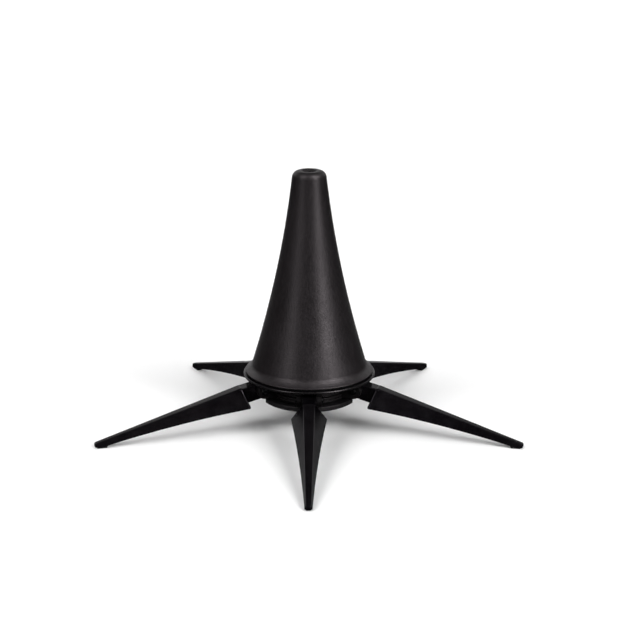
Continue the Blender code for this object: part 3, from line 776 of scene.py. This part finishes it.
# white studio round the floor, seen past its edge in low views; it takes no part in the lighting
bm = bmesh.new()
bmesh.ops.create_uvsphere(bm, u_segments=48, v_segments=24, radius=3.9, matrix=Matrix.Translation((0, 0, FLOOR_Z * MM)))
sweep = link("sweep", bm)
for poly in sweep.data.polygons:
    poly.use_smooth = True
sw = Nodes("sweep_white")
sw.b.inputs["Base Color"].default_value = (0.9, 0.9, 0.9, 1.0)
sw.b.inputs["Roughness"].default_value = 0.9
sw.b.inputs["Emission Color"].default_value = (1.0, 1.0, 1.0, 1.0)
sw.b.inputs["Emission Strength"].default_value = 1.0
sweep.data.materials.append(sw.m)
sweep.visible_diffuse = False
sweep.visible_glossy = False
sweep.visible_transmission = False
sweep.visible_shadow = False


def soft_light(name, az, el, energy, spread, color=(1.0, 1.0, 1.0)):
    """A far, wide softbox: az is measured from straight in front (-Y) to the right."""
    d = bpy.data.lights.new(name, 'SUN')
    d.energy = energy
    d.angle = math.radians(spread)
    d.color = color
    ob = bpy.data.objects.new(name, d)
    a, e = math.radians(az), math.radians(el)
    way = Vector((math.sin(a) * math.cos(e), -math.cos(a) * math.cos(e), math.sin(e)))
    ob.location = way * 1.5
    ob.rotation_euler = way.to_track_quat('Z', 'Y').to_euler()
    bpy.context.scene.collection.objects.link(ob)
    return ob


# the light that falls on the floor and throws the shadows
for name, az, el, energy, spread in (("key", 44.0, 35.0, 2.3, 29.0), ("fill", -47.0, 39.0, 1.9, 31.0), ("ceiling", 0.0, 89.0, 1.3, 120.0)):
    soft_light(name, az, el, energy, spread).visible_glossy = False

# the tall strip softboxes as the satin parts mirror them, from low to high, and two faint ones behind
for side, rows in (("right", ((45.0, 10.0, 26.0, 0.78), (46.0, 28.0, 26.0, 0.80), (56.0, 46.0, 26.0, 1.35), (64.0, 61.0, 22.0, 0.60))),
                   ("left", ((-45.0, 10.0, 22.0, 0.19), (-45.0, 28.0, 24.0, 0.34), (-50.0, 46.0, 24.0, 0.50), (-56.0, 61.0, 22.0, 0.22))),
                   ("back", ((138.0, 24.0, 30.0, 0.16), (-138.0, 24.0, 30.0, 0.22)))):
    for i, (az, el, spread, energy) in enumerate(rows):
        soft_light("strip_%s_%d" % (side, i + 1), az, el, energy, spread).visible_diffuse = False

world = bpy.data.worlds.new("studio")
bpy.context.scene.world = world
world.use_nodes = True
wt = world.node_tree
wt.nodes.clear()
w_out = wt.nodes.new("ShaderNodeOutputWorld")
bg = wt.nodes.new("ShaderNodeBackground")
tc = wt.nodes.new("ShaderNodeTexCoord")
sep = wt.nodes.new("ShaderNodeSeparateXYZ")
wt.links.new(tc.outputs["Generated"], sep.inputs[0])


def ramp(src, lo, hi, a, b):
    n = wt.nodes.new("ShaderNodeMapRange")
    n.interpolation_type = 'SMOOTHSTEP'
    for i, v in zip(("From Min", "From Max", "To Min", "To Max"), (lo, hi, a, b)):
        n.inputs[i].default_value = v
    wt.links.new(src, n.inputs["Value"])
    return n.outputs["Result"]


def total(a, b):
    n = wt.nodes.new("ShaderNodeMath")
    n.operation = 'ADD'
    wt.links.new(a, n.inputs[0])
    wt.links.new(b, n.inputs[1])
    return n.outputs["Value"]


def times(a, b):
    n = wt.nodes.new("ShaderNodeMath")
    n.operation = 'MULTIPLY'
    wt.links.new(a, n.inputs[0])
    wt.links.new(b, n.inputs[1])
    return n.outputs["Value"]


# white backdrop behind (+Y) up to about 40 degrees, a little brighter to the left; dim elsewhere
wall = times(ramp(sep.outputs["Y"], 0.75, 0.97, 0.0, 0.85), ramp(sep.outputs["Z"], 0.45, 0.72, 1.0, 0.0))
wall = times(wall, ramp(sep.outputs["Z"], -0.45, 0.2, 0.3, 1.0))
wall = times(wall, ramp(sep.outputs["X"], -0.5, 0.5, 1.15, 0.8))
wt.links.new(total(wall, ramp(sep.outputs["Z"], 0.9, 1.0, 0.03, 0.06)), bg.inputs["Strength"])
wt.links.new(bg.outputs[0], w_out.inputs["Surface"])

bpy.context.scene.view_settings.view_transform = 'Standard'
bpy.context.scene.view_settings.look = 'None'

# camera: about 20 degrees above the floor with a long lens
CAM_D, CAM_EL, CAM_YAW, CAM_PITCH, CAM_F, CAM_TURN = 0.74909, 20.768, 0.3808, -3.6636, 1621.29, 0.1595
el = math.radians(CAM_EL)
pos = Vector((0, -CAM_D * math.cos(el), CAM_D * math.sin(el)))
fwd = -pos.normalized()
right = Vector((1, 0, 0))
upv = right.cross(fwd)
base = Matrix((right, upv, -fwd)).transposed()
yaw, pitch = math.radians(CAM_YAW), math.radians(CAM_PITCH)
ry = Matrix(((math.cos(yaw), 0, math.sin(yaw)), (0, 1, 0), (-math.sin(yaw), 0, math.cos(yaw))))
rx = Matrix(((1, 0, 0), (0, math.cos(pitch), -math.sin(pitch)), (0, math.sin(pitch), math.cos(pitch))))
rot = base @ (rx @ ry).transposed()
turn = Matrix.Rotation(math.radians(CAM_TURN), 3, 'Z')
cd = bpy.data.cameras.new("camera")
cd.sensor_width = 36.0
cd.lens = CAM_F / 640.0 * 36.0
cd.clip_start, cd.clip_end = 0.05, 20.0
cam = bpy.data.objects.new("camera", cd)
cam.matrix_world = Matrix.Translation(turn @ pos + Vector((0, 0, FLOOR_Z * MM))) @ (turn @ rot).to_4x4()
bpy.context.scene.collection.objects.link(cam)
bpy.context.scene.camera = cam
